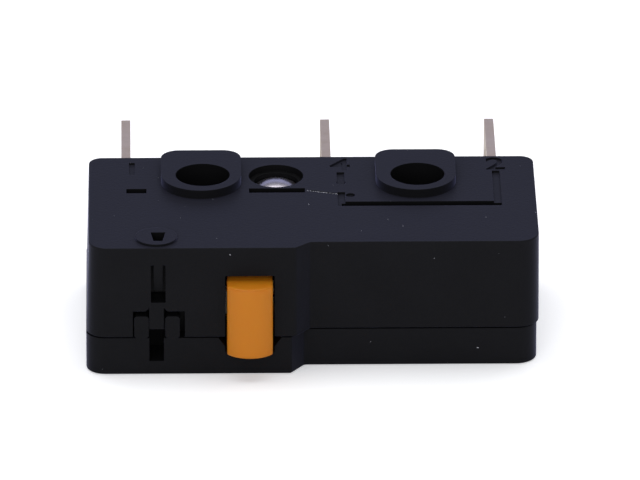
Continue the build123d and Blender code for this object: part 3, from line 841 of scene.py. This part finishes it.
def strip_along(start, end, half_width, z):
    """A flat strip, facing up, between two points."""
    side = (end - start).orthogonal().normalized() * half_width
    mesh = bpy.data.meshes.new("strip")
    corners = (start - side, end - side, end + side, start + side)
    mesh.from_pydata([(corner.x, corner.y, z) for corner in corners], [], [(0, 1, 2, 3)])
    return mesh


# pale specks packed along the groove paint the highlight on its edge
arm_highlight = run_tree(
    speck_tree, strip_along(ARM_START, ARM_END, HIGHLIGHT_HALF, top_z),
    {
        "Per square metre": HIGHLIGHT_SPECKS_PER_M2, "Smallest": SMALLEST, "Largest": LARGEST_HIGHLIGHT_SPECK,
        "Seed": HIGHLIGHT_SEED, "Material": dust_and_highlight_material,
    },
)
finished_mesh("painted_highlight_in_arm_groove", arm_highlight, dust_and_highlight_material, "housing")

# %% [markdown]
# ## Camera
#
# A very long lens from a little above the front keeps the sides of the body almost parallel. The
# camera is aimed with an elevation and a small turn, and rolled by a trace. Its matrix is built
# from the three directions that follow: right, up and back.

# %% Camera
ELEVATION = math.radians(24.42)
TURN = math.radians(-0.995)
ROLL = math.radians(0.121)
DISTANCE = 506.5 * MM
AIM = Vector((0.425, -1.207, 3.758)) * MM
LENS = 644.06  # focal length in millimetres

flat = math.cos(ELEVATION)
looking = Vector((-math.sin(TURN) * flat, math.cos(TURN) * flat, -math.sin(ELEVATION)))
level = looking.cross(Vector((0, 0, 1))).normalized()
upright = level.cross(looking)
right = math.cos(ROLL) * level + math.sin(ROLL) * upright
up = math.cos(ROLL) * upright - math.sin(ROLL) * level

camera_data = bpy.data.cameras.new("product_camera")
camera_data.lens = LENS
camera = scene_object("product_camera", camera_data)
facing = Matrix((right, up, -looking)).transposed().to_4x4()
camera.matrix_world = Matrix.Translation(AIM - looking * DISTANCE) @ facing
bpy.context.scene.camera = camera
print("camera at", [round(value / MM, 1) for value in camera.location], "mm")

# %% [markdown]
# ## Floor
#
# A wide sheet of white matt board, which is part of the stage, not of the switch. It is lit a
# little more for the camera alone, as an overexposed background is, so that it reads as pure white
# and keeps a soft shadow without throwing more light on the switch.

# %% Floor
FLOOR_HALF = 4.0
FLOOR_LIFT = 0.3  # the light it adds of its own, for the camera alone
FLOOR_GAP = 0.01 * MM


def stage_floor():
    """A flat square under the switch, a hair below it so that the two faces don't fight."""
    mesh = bpy.data.meshes.new("pale_board")
    shape = bmesh.new()
    z = cad_box[0][2] - FLOOR_GAP
    corners = ((-1, -1), (1, -1), (1, 1), (-1, 1))
    shape.faces.new([shape.verts.new((x * FLOOR_HALF, y * FLOOR_HALF, z)) for x, y in corners])
    shape.to_mesh(mesh)
    shape.free()
    return scene_object("pale_board", mesh)


board = even_material("matt_white_board", "#ffffff", 0.9)
seen = add(board.node_tree, "ShaderNodeLightPath")
glow = add(
    board.node_tree, "ShaderNodeMath", {"operation": "MULTIPLY"},
    _0=seen.outputs["Is Camera Ray"], _1=FLOOR_LIFT,
)
board.node_tree.links.new(glow.outputs["Value"], shader_of(board).inputs["Emission Strength"])
floor = stage_floor()
floor.data.materials.append(board)
print("floor", 2 * FLOOR_HALF, "m square")

# %% [markdown]
# ## Light
#
# A large softbox overhead, a wide one in front and a cool one behind, with an even pale surround.
# Big lamps close to a small object give the soft gradients of a light tent. The one behind grazes
# the top and gives its sheen a bluish cast. Their strength is set so that a colour renders about as
# it is written.

# %% Lamps and surround
WHITE = (1.0, 1.0, 1.0)
COOL = (0.50, 0.55, 1.0)
SURROUND_STRENGTH = 0.34
SOFTBOXES = (  # name, place, aim, width and height in mm, watts, tint
    ("overhead_softbox", (0, 70, 320), (0, 0, 0), 420, 260, 0.87, WHITE),
    ("front_softbox", (-40, -330, 150), (0, 0, 3), 300, 200, 0.53, WHITE),
    ("cool_rear_softbox", (0, 420, 190), (0, 0, 3), 700, 220, 0.27, COOL),
)

bpy.context.scene.view_settings.view_transform = "Standard"
world = bpy.data.worlds.new("pale_surround")
bpy.context.scene.world = world
world.use_nodes = True
surround = world.node_tree.nodes["Background"]
surround.inputs["Color"].default_value = linear("#e4e7f2")
surround.inputs["Strength"].default_value = SURROUND_STRENGTH


def softbox(name, place_mm, aim_mm, width_mm, height_mm, watts, tint):
    """A rectangular area lamp that faces a point."""
    data = bpy.data.lights.new(name, "AREA")
    data.shape = "RECTANGLE"
    data.size = width_mm * MM
    data.size_y = height_mm * MM
    data.energy = watts
    data.color = tint
    lamp = scene_object(name, data)
    place, aim = Vector(place_mm) * MM, Vector(aim_mm) * MM
    facing = (aim - place).to_track_quat("-Z", "Y").to_matrix().to_4x4()
    lamp.matrix_world = Matrix.Translation(place) @ facing


for box in SOFTBOXES:
    softbox(*box)
print(len(SOFTBOXES), "softboxes, surround", SURROUND_STRENGTH)
